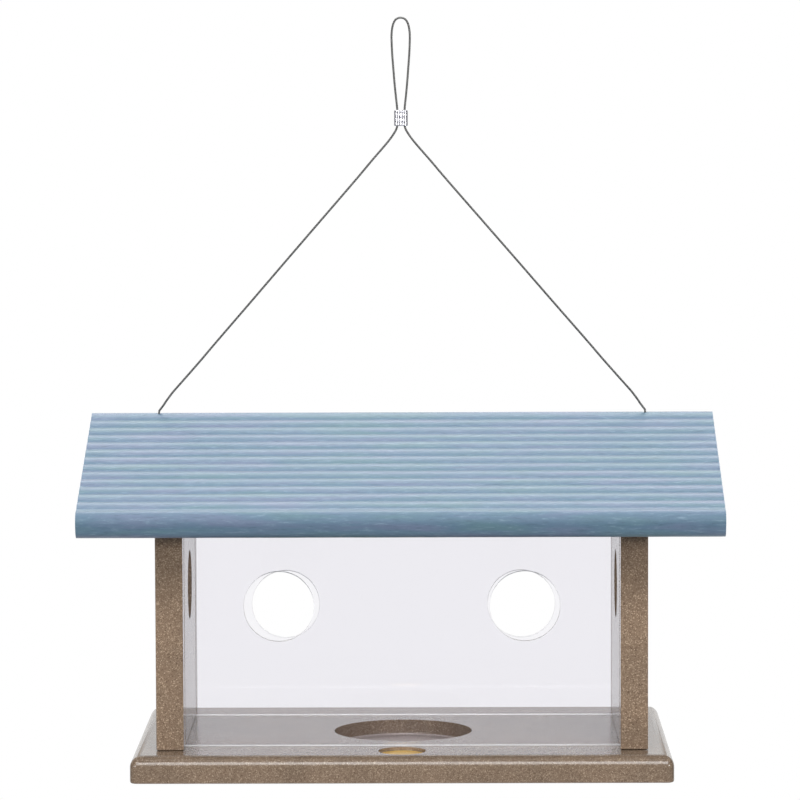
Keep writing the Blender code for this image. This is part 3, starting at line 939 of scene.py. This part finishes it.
def strandSection():  # six strands round a core, seen end on
    strand = cable["width"] / 6
    outline = []
    for number in range(cable["strands"]):
        turn = 2 * pi * number / cable["strands"]
        for spread in (-1.25, -0.62, 0.0, 0.62, 1.25):
            x = 2 * strand * cos(turn) + strand * cos(turn + spread)
            y = 2 * strand * sin(turn) + strand * sin(turn + spread)
            outline.append((x, y))
    return outline


def strandedCable(name, route):
    points = smoothRoute(route, cable["step"])
    section = bpy.data.curves.new(name + "Section", "CURVE")
    spline = section.splines.new("POLY")
    outline = strandSection()
    spline.points.add(len(outline) - 1)
    for point, (x, y) in zip(spline.points, outline):
        point.co = (x, y, 0, 1)
    spline.use_cyclic_u = True
    sectionObject = bpy.data.objects.new(name + "Section", section)
    scene.collection.objects.link(sectionObject)

    curve = bpy.data.curves.new(name, "CURVE")
    curve.dimensions = "3D"
    curve.bevel_mode = "OBJECT"
    curve.bevel_object = sectionObject
    curve.use_fill_caps = True
    spline = curve.splines.new("POLY")
    spline.points.add(len(points) - 1)
    travelled = 0.0
    for number, (point, place) in enumerate(zip(spline.points, points)):
        if number:
            travelled += (place - points[number - 1]).length
        point.co = (*place, 1)
        point.tilt = 2 * pi * travelled / cable["lay"]
    line = bpy.data.objects.new(name + "Line", curve)
    scene.collection.objects.link(line)
    bpy.context.view_layer.update()
    mesh = bpy.data.meshes.new_from_object(line.evaluated_get(bpy.context.evaluated_depsgraph_get()))
    for helper in (line, sectionObject):
        bpy.data.objects.remove(helper, do_unlink=True)
    bm = bmesh.new()
    bm.from_mesh(mesh)
    bmesh.ops.remove_doubles(bm, verts=bm.verts, dist=1e-7)
    bmesh.ops.recalc_face_normals(bm, faces=bm.faces)
    bpy.data.meshes.remove(mesh)
    piece = newPiece(name, bm, [cableSteel], 70)
    return piece, points, travelled


def buildCables(ferrule):
    for word, side in (("Left", -1), ("Right", 1)):
        node = word.lower()
        route = [(side * x, 0, z) for x, z in legRoute]
        leg, points, length = strandedCable("cableLeg" + word, route)
        finishPiece(leg, "hanger", "cable", f"cable_leg_{node}")
        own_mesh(leg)
        buildAnchor("cableAnchor" + word, f"cable_anchor_{node}", f"cable_stop_{node}", side)
    rise = [(x, 0, z) for x, z in loopRoute]
    fall = [(-x, 0, z) for x, _, z in reversed(rise[:-1])]
    loop, points, length = strandedCable("cableLoop", rise + fall)
    finishPiece(loop, "loop", "cable", "cable_loop")


def buildAnchor(name, node, stop, side):  # from the stop out through the gable, up to the roof's hole
    low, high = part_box(node)
    stopLow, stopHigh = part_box(stop)
    level = (stopLow.z + stopHigh.z) / 2
    outer = (high.x if side > 0 else -low.x) - cable["width"] / 2
    inner = stopLow.x if side > 0 else -stopHigh.x
    bend = cable["bend"]
    turn = [(outer - bend + x, level + bend + z) for x, z in roundArc((0, 0), bend, -90, 0, 4)]
    run = [(inner, level), (inner + cable["gripRun"], level), (outer - 2 * bend, level), *turn]
    run += [(outer, level + 2 * bend), (outer, (level + high.z) / 2), (outer, high.z + 0.0002)]
    piece, _, _ = strandedCable(name, [(side * x, 0, z) for x, z in run])
    finishPiece(piece, None, "cable", node)
    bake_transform(piece)


sleeve = {
    "bore": 0.00066,
    "steps": 34,
    "barrelSteps": 26,
    "endRound": 0.0003,
    "web": 0.0011,  # half the thickness where the two barrels meet
    "bands": (0.2, 0.5, 0.8),
    "bandWidth": 0.085,
    "press": 0.025,
    "groove": 0.00032,
    "flats": 0.03,
}


def sleeveLayer(share, tall):  # how far an outer point is drawn in at the ends, and pressed in the bands
    fromEnd = min(share, 1 - share) * tall
    rounding = sleeve["endRound"]
    drawn = rounding - max(0.0, rounding**2 - max(0.0, rounding - fromEnd) ** 2) ** 0.5
    pressed = sum(max(0.0, 1 - abs(share - band) / sleeve["bandWidth"]) for band in sleeve["bands"])
    return drawn, min(1.0, 1.6 * pressed)


def buildFerrule():  # two barrels side by side, pressed in three bands
    low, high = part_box("ferrule")
    tall, radius = high.z - low.z, (high.x - low.x) / 4
    meet = 180 - degrees(asin(sleeve["web"] / radius))
    bm = bmesh.new()
    right = roundArc((radius, 0), radius, -meet, meet, sleeve["barrelSteps"])
    outline = [bm.verts.new((x, y, 0)) for x, y in right + [(-x, -y) for x, y in right]]
    for first, second in zip(outline, outline[1:] + outline[:1]):
        bm.edges.new((first, second))
    for side in (-1, 1):
        place = Matrix.Translation((side * radius, 0, 0))
        bmesh.ops.create_circle(bm, cap_ends=False, segments=24, radius=sleeve["bore"], matrix=place)
    bmesh.ops.triangle_fill(bm, edges=bm.edges[:], use_beauty=True, use_dissolve=False)
    faces = bm.faces[:]
    body = [0.035 + 0.93 * i / sleeve["steps"] for i in range(sleeve["steps"] + 1)]
    shares = [0.0, 0.006, 0.016, *body, 0.984, 0.994, 1.0]
    for before, after in zip(shares, shares[1:]):
        grown = bmesh.ops.extrude_face_region(bm, geom=faces)["geom"]
        if before > 0:  # only the first sheet stays, as the lower end
            bmesh.ops.delete(bm, geom=faces, context="FACES")
        faces = [f for f in grown if isinstance(f, bmesh.types.BMFace)]
        moved = [v for v in grown if isinstance(v, bmesh.types.BMVert)]
        bmesh.ops.translate(bm, vec=(0, 0, tall * (after - before)), verts=moved)
    for vert in bm.verts:
        centre = Vector((radius if vert.co.x > 0 else -radius, 0, 0))
        outward = Vector((vert.co.x - centre.x, vert.co.y, 0))
        if outward.length < sleeve["bore"] * 1.05:
            continue
        drawn, pressed = sleeveLayer(vert.co.z / tall, tall)
        vert.co -= outward.normalized() * drawn
        vert.co.y *= 1 - sleeve["press"] * pressed
    bmesh.ops.recalc_face_normals(bm, faces=bm.faces)
    middle = Vector(((low.x + high.x) / 2, (low.y + high.y) / 2, low.z))
    piece = newPiece("ferruleSleeve", placed(bm, Matrix.Translation(middle)), [sleeveMetal], 50)
    return finishPiece(piece, "loop", "sleeves", "ferrule")


def buildStop(name, node):  # a short sleeve with two pressed grooves, lying along X
    low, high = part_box(node)
    tall, radius = high.x - low.x, (high.y - low.y) / 2
    bore, edge = sleeve["bore"], sleeve["endRound"]
    profile = [(bore, 0), *roundArc((radius - edge, edge), edge, -90, 0, 4)]
    for centre in (0.3, 0.7):
        for offset, depth in ((-0.13, 0), (-0.09, 0.6), (-0.05, 1), (0.05, 1), (0.09, 0.6), (0.13, 0)):
            profile.append((radius - sleeve["groove"] * depth, tall * (centre + offset)))
    profile += [*roundArc((radius - edge, tall - edge), edge, 0, 90, 4), (bore, tall), (bore, 0)]
    place = Matrix.Translation((low.x, (low.y + high.y) / 2, (low.z + high.z) / 2))
    turn = Matrix.Rotation(pi / 2, 4, "Y")
    bm = turned(profile, 48)
    for vert in bm.verts:  # the press leaves six slight flats in its grooves
        across = vert.co.xy.length
        if bore * 1.1 < across < radius - 0.00025:
            bearing = vert.co.xy.angle_signed(Vector((1, 0)))
            vert.co.xy *= 1 - sleeve["flats"] * cos(6 * bearing)
    piece = newPiece(name, placed(bm, place @ turn), [sleeveMetal], 50)
    return finishPiece(piece, "house", "sleeves", node)


screws = screwPlaces()
buildBase(screws)
buildBadge()
buildEndBoard("leftEndBoard", "left_end_board", "left_end_way_in", -1, screws)
buildEndBoard("rightEndBoard", "right_end_board", "right_end_way_in", 1, screws)
buildPane("frontPane", "front_pane", "front_way_in_left", "front_way_in_right")
buildPane("backPane", "back_pane", "back_way_in_left", "back_way_in_right")
print("house done")
buildRoofBoard("frontRoofBoard", "front_roof_board", 1, screws)
buildRoofBoard("backRoofBoard", "back_roof_board", -1, screws)
print("roof done")
for screwNode, (screwPlace, screwLean) in screws.items():
    kind, number = screwNode.rsplit("_screw_", 1)
    screwLook, screwBody = (baseScrew, "house") if kind == "base" else (ridgeScrew, "roof")
    buildScrew(f"{kind}Screw{number}", screwNode, screwPlace, screwLean, screwLook, screwBody)
print("screws done")
buildStop("cableStopLeft", "cable_stop_left")
buildStop("cableStopRight", "cable_stop_right")
buildCables(buildFerrule())
print("cable done")
